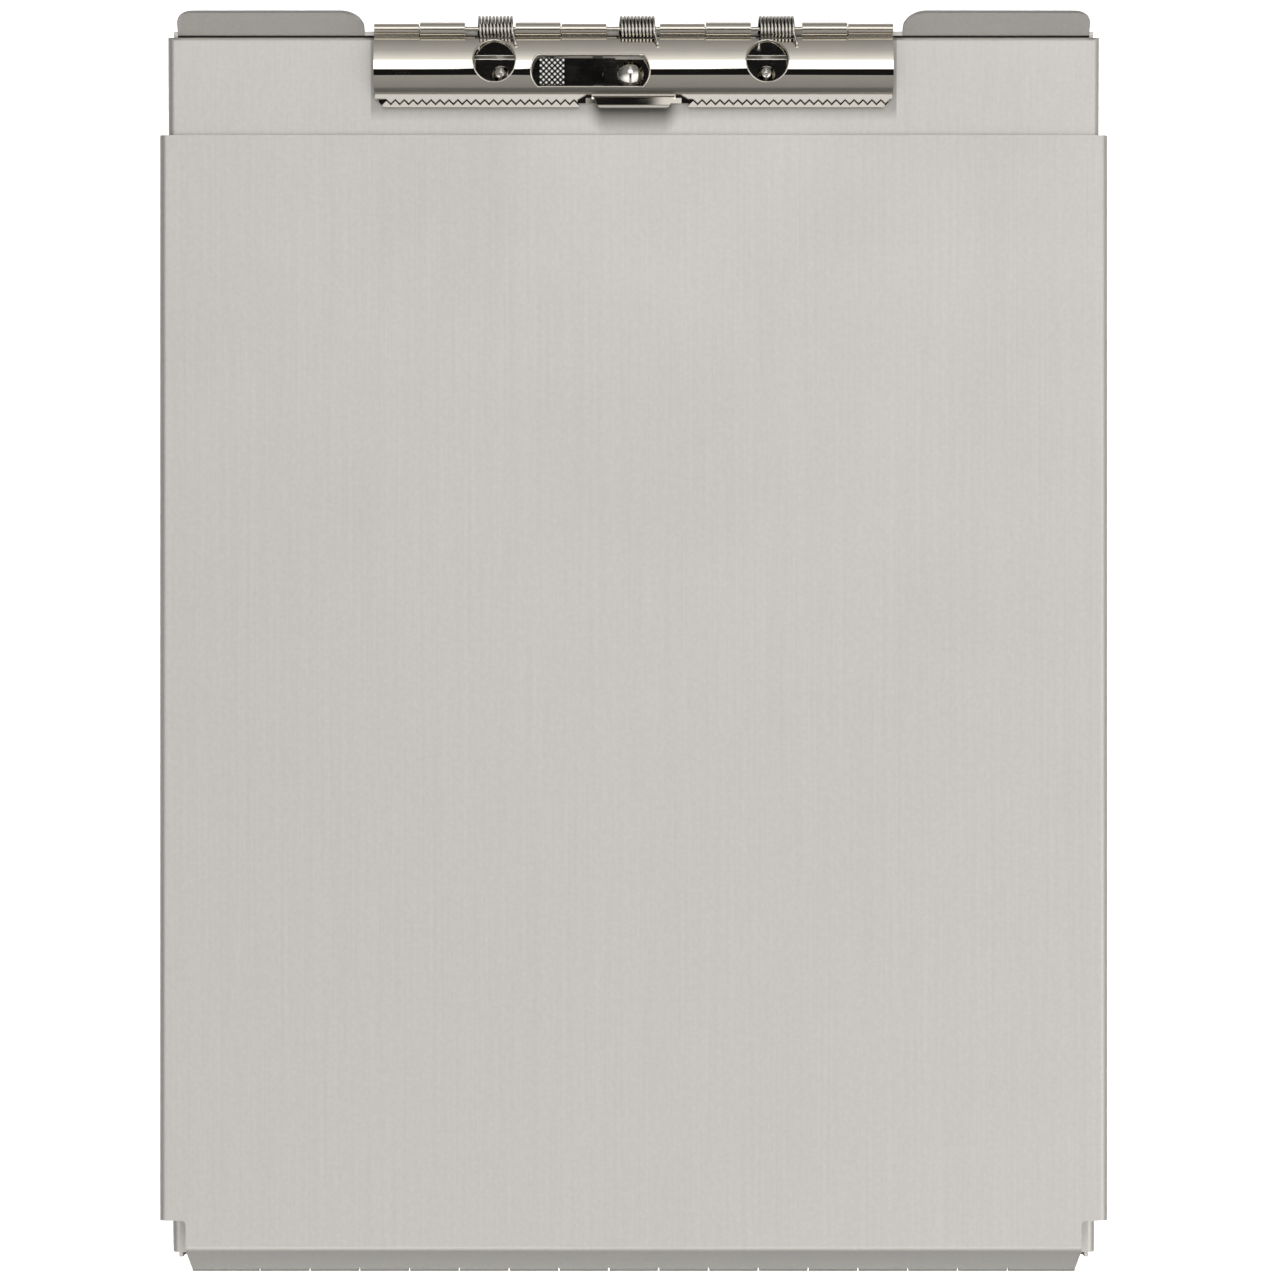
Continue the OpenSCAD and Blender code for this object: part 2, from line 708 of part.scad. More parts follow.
module writing_plate() {
    body_y = bend_y + notch_len;
    color([0.8, 0.79, 0.77]) row() {
        difference() {
            union() {
                translate([0, 0, plate_top_z]) end_view(body_y, plate_end_y)
                    channel(plate_w, plate_flange, bend_r, sheet);
                // tongue between the corner notches
                side_view(-hinge_w / 2, hinge_w / 2) bottom_bend(body_y);
                // round inner corners of the notches
                for (side = [0, 1]) mirror([side, 0, 0])
                    translate([hinge_w / 2, body_y - notch_r, plate_under_z]) difference() {
                        cube([notch_r, notch_r, sheet]);
                        translate([notch_r, 0, -1]) cylinder(r = notch_r, h = sheet + 2);
                    }
            }
            // round corners at the clip end
            for (side = [0, 1]) mirror([side, 0, 0])
                translate([plate_w / 2, plate_end_y, plate_top_z - plate_flange]) rotate([0, -90, 0])
                    linear_extrude(sheet + 1, center = true) difference() {
                        translate([-1, -2]) square(3);
                        translate([2, -2]) circle(2);
                    }
        }
    }
}

// side view of the tongue, its bend and the slanted flange down to the hinge
module bottom_bend(body_y) {
    dir = [cos(flange_angle), sin(flange_angle)];
    out = [-sin(flange_angle), cos(flange_angle)];
    top = [bend_y, plate_top_z];
    // the bend's arc touches both outer faces
    lead = bend_r * tan(flange_angle / 2);
    centre = [bend_y + lead, plate_top_z - bend_r];
    low = top - (flange_len - leaf_clear) * dir;
    high = top - (lead - E) * dir;
    translate([centre.x - E, plate_under_z]) square([body_y - centre.x + 2 * E, sheet]);
    polygon([low, high, high - sheet * out, low - sheet * out]);
    intersection() {
        translate(centre) difference() {
            circle(bend_r);
            circle(bend_r - sheet);
        }
        polygon([centre, centre + 3 * bend_r * out, [centre.x - 2, centre.y + 3 * bend_r],
            [centre.x, centre.y + 3 * bend_r]]);
    }
}

module plate_hinge_leaf() {
    color([0.7, 0.7, 0.69]) row() translate([0, 0, axis_z]) leaf(PLATE)
        rotate(flange_angle) translate([0, flange_skew - sheet - leaf_t])
            square([leaf_clear + leaf_run, leaf_t]);
}

storage_tray();
tray_hinge_leaf();
hinge_pin();
clip_deck();
deck_hinge_leaf();
clip_base_plate();
clip_hinge_rod();
clip_rivet(-1);  // clip_rivet_left
clip_rivet(1);  // clip_rivet_right
rivet_washer(-1);  // rivet_washer_left
rivet_washer(1);  // rivet_washer_right
latch_stud();
clip_spring(SPRING_X[0]);  // spring_left
clip_spring(SPRING_X[1]);  // spring_middle
clip_spring(SPRING_X[2]);  // spring_right
clip_jaw();
latch_retainers();
latch_bar();
writing_plate();
plate_hinge_leaf();
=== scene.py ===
"""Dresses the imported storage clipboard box: finishes, wound springs, studio and camera."""

from __future__ import annotations

import json
import logging
import math
from dataclasses import dataclass
from enum import Enum
from typing import TypeAlias

import bmesh
import bpy
from mathutils import Matrix, Vector

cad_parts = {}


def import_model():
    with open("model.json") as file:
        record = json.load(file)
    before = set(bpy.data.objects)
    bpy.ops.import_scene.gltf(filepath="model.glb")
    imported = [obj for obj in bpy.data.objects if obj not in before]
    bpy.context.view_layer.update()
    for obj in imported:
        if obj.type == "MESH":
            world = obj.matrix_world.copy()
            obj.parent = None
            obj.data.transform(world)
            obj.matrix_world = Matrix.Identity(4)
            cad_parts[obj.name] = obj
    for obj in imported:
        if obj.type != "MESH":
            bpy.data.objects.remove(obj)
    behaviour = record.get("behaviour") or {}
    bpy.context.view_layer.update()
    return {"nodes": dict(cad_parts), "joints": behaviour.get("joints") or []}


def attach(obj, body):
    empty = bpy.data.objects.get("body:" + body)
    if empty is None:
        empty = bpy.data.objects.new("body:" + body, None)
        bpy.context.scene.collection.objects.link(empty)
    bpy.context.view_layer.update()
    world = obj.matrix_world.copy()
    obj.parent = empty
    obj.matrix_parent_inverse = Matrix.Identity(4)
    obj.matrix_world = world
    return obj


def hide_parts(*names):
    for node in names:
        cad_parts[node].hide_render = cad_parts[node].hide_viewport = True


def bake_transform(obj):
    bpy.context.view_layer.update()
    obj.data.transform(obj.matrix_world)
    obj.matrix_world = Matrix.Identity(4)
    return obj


log = logging.getLogger("clipboard")

Tree: TypeAlias = bpy.types.NodeTree
Socket: TypeAlias = bpy.types.NodeSocket

MM = 0.001
# the clip's deck slopes up from its foot at the hinge end to the writing plate's free end
DECK_FOOT_Y, DECK_FOOT_Z = -153.517 * MM, 7 * MM
DECK_RISE_MM, DECK_RUN_MM = 10.75, 282.0
DECK_TILT = math.atan2(DECK_RISE_MM, DECK_RUN_MM)
# the direction off the deck's surface, and the surface's level that way
DECK_UP = (0.0, -math.sin(DECK_TILT), math.cos(DECK_TILT))
DECK_LEVEL = DECK_FOOT_Y * DECK_UP[1] + DECK_FOOT_Z * DECK_UP[2]
# limits along y that take in the whole box, or none of it
EVERYWHERE, NOWHERE = 1.0, -1.0
# the three springs' middles across the clip
SPRING_X = {"left": -34.6 * MM, "middle": 0.85 * MM, "right": 35.65 * MM}


class Axis(Enum):
    """Direction in which a brushed grain runs over a sheet."""

    ALONG_X = "x"
    ALONG_Y = "y"


def linear(hex_colour: str) -> tuple[float, float, float, float]:
    """Turn an sRGB hex colour into a linear RGBA colour.

    Args:
        hex_colour: six hex digits, such as "c8c5c0".

    Returns:
        The linear colour with an alpha of 1.
    """
    parts = [int(hex_colour[i : i + 2], 16) / 255 for i in (0, 2, 4)]
    rgb = [c / 12.92 if c <= 0.04045 else ((c + 0.055) / 1.055) ** 2.4 for c in parts]
    return rgb[0], rgb[1], rgb[2], 1.0


def grey(level: float) -> tuple[float, float, float, float]:
    """Make a neutral linear colour.

    Args:
        level: the level of all three channels.

    Returns:
        The linear colour with an alpha of 1.
    """
    return level, level, level, 1.0


def add_node(
    tree: Tree,
    kind: str,
    settings: dict[str, object] | None = None,
    inputs: dict[str | int, object] | None = None,
) -> bpy.types.Node:
    """Add one shader node with its settings and inputs.

    Args:
        tree: node tree that gets the node.
        kind: the node's type name.
        settings: attributes of the node itself.
        inputs: values, or sockets to link from, by input name or index.

    Returns:
        The new node.
    """
    node = tree.nodes.new(kind)
    for name, value in (settings or {}).items():
        setattr(node, name, value)
    for name, value in (inputs or {}).items():
        if isinstance(value, bpy.types.NodeSocket):
            tree.links.new(value, node.inputs[name])
        else:
            node.inputs[name].default_value = value
    return node


def calculate(
    tree: Tree, operation: str, *operands: float | Socket, clamp: bool = False
) -> Socket:
    """Work out a number from one to three others.

    Args:
        tree: the node tree.
        operation: the math node's operation.
        *operands: numbers or sockets, in the node's order.
        clamp: whether the result is kept between 0 and 1.

    Returns:
        The result.
    """
    settings = {"operation": operation, "use_clamp": clamp}
    return add_node(tree, "ShaderNodeMath", settings, dict(enumerate(operands))).outputs[0]


def work_vector(tree: Tree, operation: str, *operands: tuple | Socket) -> bpy.types.Node:
    """Work on one or two vectors.

    Args:
        tree: the node tree.
        operation: the vector math node's operation.
        *operands: vectors or sockets, in the node's order.

    Returns:
        The node, whose outputs are "Vector" and "Value".
    """
    settings = {"operation": operation}
    return add_node(tree, "ShaderNodeVectorMath", settings, dict(enumerate(operands)))


def remap(
    tree: Tree,
    value: Socket,
    before: tuple[float | Socket, float | Socket] = (0.0, 1.0),
    after: tuple[float | Socket, float | Socket] = (0.0, 1.0),
    smooth: bool = False,
) -> Socket:
    """Carry a value from one range over to another and keep it inside.

    Args:
        tree: the node tree.
        value: the value.
        before: the two ends that the value runs between.
        after: what those ends become.
        smooth: whether the change eases in and out.

    Returns:
        The new value.
    """
    return add_node(
        tree,
        "ShaderNodeMapRange",
        {"interpolation_type": "SMOOTHSTEP" if smooth else "LINEAR"},
        {
            "Value": value,
            "From Min": before[0],
            "From Max": before[1],
            "To Min": after[0],
            "To Max": after[1],
        },
    ).outputs[0]


def mix_values(
    tree: Tree, share: Socket, first: float | Socket, second: float | Socket
) -> Socket:
    """Mix two numbers.

    Args:
        tree: the node tree.
        share: how much of the second is used, from 0 to 1.
        first: a number or socket.
        second: a number or socket.

    Returns:
        The mixed number.
    """
    settings = {"data_type": "FLOAT"}
    # the node's sockets 2 and 3 are its pair of numbers
    return add_node(tree, "ShaderNodeMix", settings, {0: share, 2: first, 3: second}).outputs[0]


def mix_colours(
    tree: Tree, share: Socket, first: str | tuple | Socket, second: str | tuple | Socket
) -> Socket:
    """Mix two colours.

    Args:
        tree: the node tree.
        share: how much of the second is used, from 0 to 1.
        first: an sRGB hex colour, a linear colour or a socket.
        second: an sRGB hex colour, a linear colour or a socket.

    Returns:
        The mixed colour.
    """
    settings = {"data_type": "RGBA"}
    pair = [linear(c) if isinstance(c, str) else c for c in (first, second)]
    # the node's sockets 6 and 7 are its pair of colours
    inputs = {0: share, 6: pair[0], 7: pair[1]}
    return add_node(tree, "ShaderNodeMix", settings, inputs).outputs[2]


def noise(
    tree: Tree, place: Socket, size: float = 1.0, detail: float = 2.0, roughness: float = 0.5
) -> Socket:
    """Add a noise pattern.

    Args:
        tree: the node tree.
        place: coordinates.
        size: the pattern's largest grain, in the coordinates' unit.
        detail: octaves of finer grain.
        roughness: how strong the finer grain is.

    Returns:
        The pattern, from 0 to 1.
    """
    inputs = {"Vector": place, "Scale": 1 / size, "Detail": detail, "Roughness": roughness}
    return add_node(tree, "ShaderNodeTexNoise", inputs=inputs).outputs["Fac"]


def stretched(tree: Tree, place: Socket, sizes: tuple[float, float, float]) -> Socket:
    """Scale coordinates so that a pattern's grain gets a length along each axis.

    Args:
        tree: the node tree.
        place: object coordinates.
        sizes: the grain's lengths along x, y and z, in metres.

    Returns:
        Coordinates for a pattern with a grain of 1.
    """
    inputs = {"Vector": place, "Scale": tuple(1 / size for size in sizes)}
    return add_node(tree, "ShaderNodeMapping", inputs=inputs).outputs["Vector"]


def bump(
    tree: Tree,
    height: Socket,
    strength: float | Socket,
    distance: float,
    under: Socket | None = None,
) -> Socket:
    """Turn a height into a relief of the surface's shading.

    Args:
        tree: the node tree.
        height: the height.
        strength: how much of the relief shows, from 0 to 1.
        distance: what a height of 1 stands for, in metres.
        under: the relief that this one lies on.

    Returns:
        The relief's normal.
    """
    inputs = {"Height": height, "Strength": strength, "Distance": distance}
    if under is not None:
        inputs["Normal"] = under
    return add_node(tree, "ShaderNodeBump", inputs=inputs).outputs[0]


def along(tree: Tree, place: Socket, axis: str) -> Socket:
    """Take one coordinate.

    Args:
        tree: the node tree.
        place: coordinates.
        axis: "X", "Y" or "Z".

    Returns:
        The coordinate.
    """
    return add_node(tree, "ShaderNodeSeparateXYZ", inputs={"Vector": place}).outputs[axis]


def distance_aside(tree: Tree, place: Socket) -> Socket:
    """Measure the distance from the middle plane, to either side.

    Args:
        tree: the node tree.
        place: coordinates.

    Returns:
        The distance.
    """
    return calculate(tree, "ABSOLUTE", along(tree, place, "X"))


def deck_height(tree: Tree, place: Socket) -> Socket:
    """Measure the height square to the sloping deck.

    Args:
        tree: the node tree.
        place: object coordinates.

    Returns:
        The height, which is DECK_LEVEL on the deck's surface.
    """
    return work_vector(tree, "DOT_PRODUCT", place, DECK_UP).outputs["Value"]


def empty_material(name: str) -> tuple[bpy.types.Material, Tree]:
    """Make a material with an empty node tree.

    Args:
        name: the finish's name.

    Returns:
        The material and its tree.
    """
    material = bpy.data.materials.new(name)
    material.use_nodes = True
    material.node_tree.nodes.clear()
    return material, material.node_tree


def add_object(name: str, data: bpy.types.ID) -> bpy.types.Object:
    """Put a new object into the scene.

    Args:
        name: the object's name.
        data: its mesh, lamp or camera.

    Returns:
        The object.
    """
    obj = bpy.data.objects.new(name, data)
    bpy.context.scene.collection.objects.link(obj)
    return obj


def dress(obj: bpy.types.Object, material: bpy.types.Material) -> None:
    """Put one material in every slot of an object.

    Args:
        obj: the object to dress.
        material: its new finish.
    """
    if not obj.data.materials:
        obj.data.materials.append(material)
    for slot in obj.material_slots:
        slot.link = "OBJECT"
        slot.material = material


@dataclass(frozen=True)
class Metal:
    """A bare or plated metal, whose kinds each paint their own surface."""

    name: str

    def build(self) -> bpy.types.Material:
        """Build the finish.

        Returns:
            The material.
        """
        material, tree = empty_material(self.name)
        place = add_node(tree, "ShaderNodeTexCoord").outputs["Object"]
        colour, roughness, relief = self.paint(tree, place)
        inputs = {
            "Metallic": 1.0,
            "Base Color": colour,
            "Roughness": roughness,
            "Normal": relief,
        }
        shader = add_node(tree, "ShaderNodeBsdfPrincipled", inputs=inputs)
        add_node(tree, "ShaderNodeOutputMaterial", inputs={"Surface": shader.outputs[0]})
        return material

    def paint(self, tree: Tree, place: Socket) -> tuple[Socket, Socket, Socket]:
        """Work out the surface.

        Args:
            tree: the finish's node tree.
            place: object coordinates.

        Returns:
            Its colour, roughness and relief.
        """
        raise NotImplementedError


@dataclass(frozen=True)
class PaintedClipShadow:
    """Painted shadow on the deck along the clip's front edge, deeper and wider under the finger
    lift.
    """

    # the painted shadow's dark grey, and where and how strongly it lies
    colour: str = "5a5854"
    back_y: float = 136.0 * MM
    half: float = 66.0 * MM
    width: float = 4.4 * MM
    share: float = 0.4
    # under the finger lift the painted shadow is deeper and reaches further forward
    finger_half: float = 9.8 * MM
    finger_fade: float = 2.5 * MM
    finger_width: float = 8.6 * MM
    finger_share: float = 0.95
    # how far under the deck's surface the painted shadow still counts
    skin: float = 0.3 * MM

    def mask(self, tree: Tree, place: Socket) -> Socket:
        """Mask the painted shadow on the deck's upper face; it is wider under the clip's finger
        lift.

        Args:
            tree: the finish's node tree.
            place: object coordinates.

        Returns:
            The painted shadow's share, from 0 to 1.
        """
        aside = distance_aside(tree, place)
        fade = self.finger_half - self.finger_fade, self.finger_half + self.finger_fade
        width = remap(tree, aside, fade, (self.finger_width, self.width), smooth=True)
        share = remap(tree, aside, fade, (self.finger_share, self.share), smooth=True)
        front = calculate(tree, "SUBTRACT", self.back_y, width)
        edges, shares = (front, self.back_y), (0.0, share)
        # painted shadow: strongest at the clip's front edge, fading forwards
        painted_shadow = remap(tree, along(tree, place, "Y"), edges, shares, smooth=True)
        within = calculate(tree, "LESS_THAN", aside, self.half)
        height = deck_height(tree, place)
        topside = calculate(tree, "GREATER_THAN", height, DECK_LEVEL - self.skin)
        return calculate(tree, "MULTIPLY", calculate(tree, "MULTIPLY", painted_shadow, within), topside)


@dataclass(frozen=True)
class BrushedAluminium(Metal):
    """Sheet aluminium, belt-brushed at the mill: long soft lines under a dull metal shine."""

    colour: str = "d6d4d0"
    dark_colour: str = "cecbc7"
    roughness: float = 0.5
    roughness_swing: float = 0.025
    grain: Axis = Axis.ALONG_Y
    line_width: float = 0.55 * MM
    line_length: float = 60.0 * MM
    line_weight: float = 0.6
    cloud_size: float = 45 * MM
    cloud_range: tuple[float, float] = (0.3, 0.7)
    speck_size: float = 1.1 * MM
    tone_range: tuple[float, float] = (0.55, 1.05)
    relief_depth: float = 0.006 * MM
    relief_strength: float = 0.35
    # painted shadow in front of the clip, used on the deck only
    painted_shadow: PaintedClipShadow | None = None

    def paint(self, tree: Tree, place: Socket) -> tuple[Socket, Socket, Socket]:
        """Work out the brushed surface.

        Args:
            tree: the finish's node tree.
            place: object coordinates.

        Returns:
            Its colour, roughness and relief.
        """
        wide, long = self.line_width, self.line_length
        sizes = (wide, long, wide) if self.grain is Axis.ALONG_Y else (long, wide, wide)
        lines = noise(tree, stretched(tree, place, sizes), detail=3.0, roughness=0.6)
        # handling marks: broad cloudy patches a few centimetres wide
        clouds = noise(tree, place, self.cloud_size)
        # specks of oxide, a millimetre across and finer
        specks = noise(tree, place, self.speck_size, detail=4.0, roughness=0.7)
        tone = calculate(tree, "MULTIPLY_ADD", lines, self.line_weight, specks)
        tone = remap(tree, tone, self.tone_range)
        colour = mix_colours(tree, tone, self.dark_colour, self.colour)
        # the painted shadow darkens the deck's colour in front of the clip
        if self.painted_shadow is not None:
            colour = mix_colours(tree, self.painted_shadow.mask(tree, place), colour, self.painted_shadow.colour)
        least, most = self.roughness - self.roughness_swing, self.roughness + self.roughness_swing
        dull = remap(tree, clouds, self.cloud_range, (least, most))
        return colour, dull, bump(tree, lines, self.relief_strength, self.relief_depth)


@dataclass(frozen=True)
class BrightPlating(Metal):
    """Nickel-chrome plate over polished steel: mirror bright, with hairline rubs and a thin haze.

    The coined rows of teeth along the clip's front are struck after polishing, so they stay satin.
    """

    colour: str = "dfdad0"
    haze_colour: str = "c9c3b8"
    haze_size: float = 6 * MM
    roughness: float = 0.03
    rub_roughness: float = 0.09
    rub_width: float = 0.35 * MM
    rub_length: float = 9 * MM
    worn_range: tuple[float, float] = (0.2, 0.45)
    relief_depth: float = 0.0012 * MM
    relief_strength: float = 0.25
    # the rows of teeth and the finger lift's rim
    teeth_y: float = 138.9 * MM
    teeth_height: float = 1.05 * MM
    rim_y: float = 135.7 * MM
    satin_roughness: float = 0.38
    satin_colour: str = "bdb9b2"
    # the tight bend behind the teeth, left satin, with painted shade: a darker colour along it
    bend_y: float = 139.4 * MM
    bend_half: float = 0.35 * MM
    bend_painted_light: str = "8e8b86"
    # the knuckles round the rod
    rolled_y: float = 152.2 * MM
    rolled_colour: str = "cbc5ba"
    rolled_roughness: float = 0.16
    # the finger lift and its slight crown
    lift_y: float = 137.75 * MM
    lift_half: float = 12.0 * MM
    crown_x: float = -3.2 * MM
    crown_radius: float = 150 * MM

    def paint(self, tree: Tree, place: Socket) -> tuple[Socket, Socket, Socket]:
        """Work out the plated surface.

        Args:
            tree: the finish's node tree.
            place: object coordinates.

        Returns:
            Its colour, roughness and relief.
        """
        sizes = self.rub_length, self.rub_width, self.rub_width
        rubs = noise(tree, stretched(tree, place, sizes), detail=4.0, roughness=0.7)
        haze = noise(tree, place, self.haze_size, detail=3.0)
        worn = calculate(tree, "MULTIPLY", rubs, haze)
        gloss = remap(tree, worn, self.worn_range, (self.roughness, self.rub_roughness))
        struck, bend = self.struck(tree, place), self.bend(tree, place)
        satin = calculate(tree, "MAXIMUM", struck, bend)
        dull = mix_values(tree, satin, gloss, self.satin_roughness)
        colour = mix_colours(tree, worn, self.colour, self.haze_colour)
        colour = mix_colours(tree, struck, colour, self.satin_colour)
        # the knuckles are rolled last, which leaves them a little dull
        rolled = calculate(tree, "GREATER_THAN", along(tree, place, "Y"), self.rolled_y)
        dull = mix_values(tree, rolled, dull, self.rolled_roughness)
        colour = mix_colours(tree, rolled, colour, self.rolled_colour)
        # painted light along the bend: painted shade on the jaw, a painted highlight on the base
        # plate's step
        colour = mix_colours(tree, bend, colour, self.bend_painted_light)
        relief = bump(tree, haze, self.relief_strength, self.relief_depth)
        on_lift = self.on_lift(tree, place)
        return colour, dull, bump(tree, self.crown(tree, place), on_lift, 1.0, under=relief)

    def struck(self, tree: Tree, place: Socket) -> Socket:
        """Mask what is struck after polishing: the rows of teeth and the finger lift's rim.

        Args:
            tree: the finish's node tree.
            place: object coordinates.

        Returns:
            1 on the struck forms and 0 elsewhere.
        """
        height, y = deck_height(tree, place), along(tree, place, "Y")
        above = calculate(tree, "GREATER_THAN", height, DECK_LEVEL + self.teeth_height)
        front = calculate(tree, "LESS_THAN", y, self.teeth_y)
        struck = calculate(tree, "MULTIPLY", front, above)
        # the lift is polished between its step and its rim
        inside = calculate(tree, "GREATER_THAN", y, self.rim_y)
        flat = calculate(tree, "MULTIPLY", inside, self.on_lift(tree, place))
        return calculate(tree, "SUBTRACT", struck, flat, clamp=True)

    def bend(self, tree: Tree, place: Socket) -> Socket:
        """Mask the tight bend behind the teeth, which the polishing wheel can't reach, so it stays
        satin; its colour there is painted light.

        Args:
            tree: the finish's node tree.
            place: object coordinates.

        Returns:
            1 along the bend, fading to 0 on both sides.
        """
        away = calculate(tree, "SUBTRACT", along(tree, place, "Y"), self.bend_y)
        away = calculate(tree, "ABSOLUTE", away)
        return remap(tree, away, (self.bend_half, self.bend_half * 2), (1.0, 0.0))

    def crown(self, tree: Tree, place: Socket) -> Socket:
        """Raise the finger lift's flat in a slight crown that falls away to the right.

        Args:
            tree: the finish's node tree.
            place: object coordinates.

        Returns:
            The crown's height in metres.
        """
        across = calculate(tree, "SUBTRACT", along(tree, place, "X"), self.crown_x)
        square = calculate(tree, "MULTIPLY", across, across)
        return calculate(tree, "MULTIPLY", square, -0.5 / self.crown_radius)

    def on_lift(self, tree: Tree, place: Socket) -> Socket:
        """Mask the finger lift's flat.

        Args:
            tree: the finish's node tree.
            place: object coordinates.

        Returns:
            1 on the lift and 0 elsewhere.
        """
        out = calculate(tree, "LESS_THAN", along(tree, place, "Y"), self.lift_y)
        within = calculate(tree, "LESS_THAN", distance_aside(tree, place), self.lift_half)
        return calculate(tree, "MULTIPLY", out, within)


@dataclass(frozen=True)
class DrawnSteel(Metal):
    """Drawn or stamped steel with a thin plate: a satin metal with a fine grain.

    A wire wound round an axle gets painted shade on its inner side, between the coils.
    """

    colour: str = "b9b7b3"
    dark_colour: str = "8f8d89"
    roughness: float = 0.28
    roughness_swing: float = 0.08
    grain_size: float = 0.12 * MM
    relief_depth: float = 0.005 * MM
    relief_strength: float = 0.3
    # painted shade between the coils, only on wire that is wound round an axle
    axle: Vector | None = None
    shaded_radius: float = 2.3 * MM
    unshaded_radius: float = 2.75 * MM
    inner_shade_colour: str = "2c2b29"

    def paint(self, tree: Tree, place: Socket) -> tuple[Socket, Socket, Socket]:
        """Work out the drawn surface.

        Args:
            tree: the finish's node tree.
            place: object coordinates.

        Returns:
            Its colour, roughness and relief.
        """
        grain = noise(tree, place, self.grain_size, detail=3.0)
        colour = mix_colours(tree, grain, self.dark_colour, self.colour)
        if self.axle is not None:
            # painted shade: the coils darken towards the axle, between the turns
            colour = mix_colours(tree, self.unshaded(tree, place), self.inner_shade_colour, colour)
        least, most = self.roughness - self.roughness_swing, self.roughness + self.roughness_swing
        dull = remap(tree, grain, after=(least, most))
        return colour, dull, bump(tree, grain, self.relief_strength, self.relief_depth)

    def unshaded(self, tree: Tree, place: Socket) -> Socket:
        """Mask the wire away from the axle; its inner side, towards the axle, gets painted shade.

        Args:
            tree: the finish's node tree.
            place: object coordinates.

        Returns:
            1 on the unshaded outside of the coils, fading to 0 towards the axle.
        """
        spoke = work_vector(tree, "SUBTRACT", place, tuple(self.axle)).outputs["Vector"]
        spoke = work_vector(tree, "MULTIPLY", spoke, (0.0, 1.0, 1.0)).outputs["Vector"]
        length = work_vector(tree, "LENGTH", spoke).outputs["Value"]
        return remap(tree, length, (self.shaded_radius, self.unshaded_radius))


@dataclass
class SheetBox:
    """The three aluminium sheets, their hinge leaves and the pin."""

    nodes: dict[str, bpy.types.Object]

    def build(self) -> None:
        """Dress the sheets, the leaves and the pin."""
        brushed = BrushedAluminium("brushed_aluminium_sheet").build()
        # the deck's finish carries a painted shadow in front of the clip
        shadowed_deck = BrushedAluminium("aluminium_deck_painted_shadow", painted_shadow=PaintedClipShadow()).build()
        plain = BrushedAluminium(
            "mill_aluminium_leaf", colour="c4c2bd", dark_colour="b2b0ab", grain=Axis.ALONG_X
        ).build()
        drawn = DrawnSteel("drawn_pin_wire").build()
        for name, material in (
            ("writing_plate", brushed),
            ("clip_deck", shadowed_deck),
            ("storage_tray", brushed),
            ("plate_hinge_leaf", plain),
            ("deck_hinge_leaf", plain),
            ("tray_hinge_leaf", plain),
            ("hinge_pin", drawn),
        ):
            dress(self.nodes[name], material)
            log.info("%s: %s", name, material.name)


@dataclass
class Clip:
    """The lever clip: base plate, jaw, rod, rivets, stud and latch."""

    nodes: dict[str, bpy.types.Object]

    def build(self) -> bpy.types.Material:
        """Dress every rigid part of the clip.

        Returns:
            The jaw's bright finish.
        """
        bright = BrightPlating("nickel_chrome_plate").build()
        softer = BrightPlating(
            "plated_steel", colour="d2d0cc", roughness=0.1, rub_roughness=0.2
        ).build()
        # on the base plate the bend mask lies along the step under the arch, where a lighter colour
        # is a painted highlight
        pressed = BrightPlating(
            "nickel_plate_pressed", bend_y=147.8 * MM, bend_half=0.3 * MM, bend_painted_light="e9e6e0"
        ).build()
        # the latch's knurled pad stands high enough to count as struck, and the rest doesn't
        smoked = BrightPlating(
            "oiled_latch_steel",
            colour="a8a6a2",
            haze_colour="8b8985",
            roughness=0.04,
            rub_roughness=0.1,
            rub_width=0.2 * MM,
            teeth_y=EVERYWHERE,
            teeth_height=4.1 * MM,
            rim_y=EVERYWHERE,
            satin_colour="e4e3e1",
            bend_y=NOWHERE,
            lift_y=NOWHERE,
        ).build()
        zinc = DrawnSteel("zinc_plated_steel").build()
        for name, material in (
            ("clip_jaw", bright),
            ("clip_hinge_rod", softer),
            ("clip_rivet_left", softer),
            ("clip_rivet_right", softer),
            ("latch_stud", softer),
            ("clip_base_plate", pressed),
            ("latch_bar", smoked),
            ("latch_retainers", zinc),
            ("rivet_washer_left", zinc),
            ("rivet_washer_right", zinc),
        ):
            dress(self.nodes[name], material)
            log.info("%s: %s", name, material.name)
        return bright


